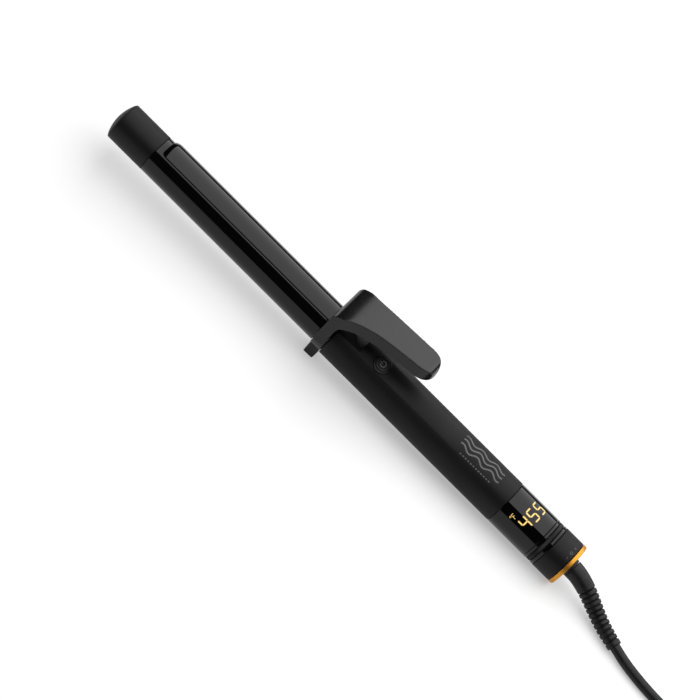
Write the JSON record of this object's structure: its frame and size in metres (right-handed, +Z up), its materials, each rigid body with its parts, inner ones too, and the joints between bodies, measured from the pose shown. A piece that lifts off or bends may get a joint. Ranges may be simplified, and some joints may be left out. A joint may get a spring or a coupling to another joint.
{
  "type": "curling iron",
  "caption": "Hair curling iron with a heated barrel, spring clip and thumb lever, round handle with power button, display and temperature dial, and a swivel mains cord tied as a hank.",
  "frame": {"origin": "centre line of the rest foot's flat sole, on the surface the iron lies on", "axes": "+X along the iron from the cool tip to the cord, +Z up, away from the surface; the iron's own axis leans 2 degrees down toward the cord"},
  "size_m": [0.6583, 0.0618, 0.0564],
  "materials": {
    "barrel_coating": "glossy black ceramic coating on metal",
    "clip_coating": "semi-gloss black coating on spring steel",
    "cool_tip_plastic": "matte heat-resistant black plastic",
    "lever_plastic": "satin black moulded plastic",
    "handle_soft_touch": "soft-touch matte black",
    "window_gloss": "smoked gloss black display window",
    "trim_gloss": "gloss black trim",
    "grip_ring_plastic": "fine ribbed black plastic",
    "dial_plastic": "satin black dial",
    "gold_metal": "anodised amber-gold ring",
    "steel": "plain steel",
    "contact_brass": "bright brass contacts",
    "spreader_aluminium": "extruded aluminium",
    "ceramic_white": "unglazed ceramic",
    "wire_sleeve": "braided glass-fibre sleeve",
    "nylon_grey": "glass-filled nylon",
    "board_green": "solder mask over glass epoxy",
    "component_black": "moulded component body",
    "cord_rubber": "black flexible cord jacket",
    "tie_strap": "woven hook-and-loop strap"
  },
  "bodies": {
    "handle": {"cool_tip": "cool_tip_plastic", "barrel_tube": "barrel_coating", "tip_insulator": "ceramic_white", "heater_plate": "ceramic_white", "heat_spreader_upper": "spreader_aluminium", "heat_spreader_lower": "spreader_aluminium", "temperature_sensor": "ceramic_white", "heater_lead_live": "wire_sleeve", "heater_lead_neutral": "wire_sleeve", "base_collar": "lever_plastic", "pivot_pin": "steel", "clip_spring": "steel", "handle_sleeve": "handle_soft_touch", "inner_frame": "nylon_grey", "main_board": "board_green", "button_switch": "component_black", "controller_chip": "component_black", "triac": "component_black", "capacitor": "component_black", "fuse": "ceramic_white", "display_board": "board_green", "display_module": "component_black", "button_bezel": "trim_gloss", "display_window": "window_gloss", "front_trim_ring": "trim_gloss", "grip_ring": "grip_ring_plastic", "rear_trim_ring": "trim_gloss", "tail_hub": "nylon_grey", "swivel_retainer": "nylon_grey", "retainer_screw_left": "steel", "retainer_screw_right": "steel", "dial_return_spring": "steel", "brush_block": "nylon_grey", "strain_relief": "cord_rubber", "cord_run": "cord_rubber", "cord_hank": "cord_rubber", "cord_tail": "cord_rubber", "cord_tie": "tie_strap", "plug_body": "cord_rubber", "plug_blade_wide": "contact_brass", "plug_blade_narrow": "contact_brass"},
    "clip": {"clip_plate": "clip_coating", "thumb_lever": "lever_plastic", "clip_rivet_left": "steel", "clip_rivet_right": "steel"},
    "button": {"power_button": "lever_plastic"},
    "dial": {"temperature_dial": "dial_plastic", "gold_ring": "gold_metal"},
    "swivel": {"swivel_core": "cord_rubber", "slip_ring_live": "contact_brass", "slip_ring_neutral": "contact_brass"}
  },
  "joints": [
    {"name": "clip_hinge", "type": "hinge", "parent": "handle", "child": "clip", "pos_m": [-0.00019, 0, 0.02582], "axis": [0, 1, 0], "range_deg": [0, 11.5], "stiffness_Nm_per_rad": 1.2, "springref_deg": -11.46},
    {"name": "power_button_press", "type": "slide", "parent": "handle", "child": "button", "axis": [-0.0323, 0.3907, -0.9199], "range_m": [0, 0.0008], "stiffness_N_per_m": 500, "springref_m": -0.001},
    {"name": "dial_turn", "type": "hinge", "parent": "handle", "child": "dial", "pos_m": [0.18755, 0, 0.01522], "axis": [0.9994, 0, -0.0351], "range_deg": [-20, 20], "stiffness_Nm_per_rad": 0.06},
    {"name": "cord_swivel", "type": "hinge", "parent": "handle", "child": "swivel", "pos_m": [0.18755, 0, 0.01522], "axis": [0.9994, 0, -0.0351], "continuous": true}
  ]
}
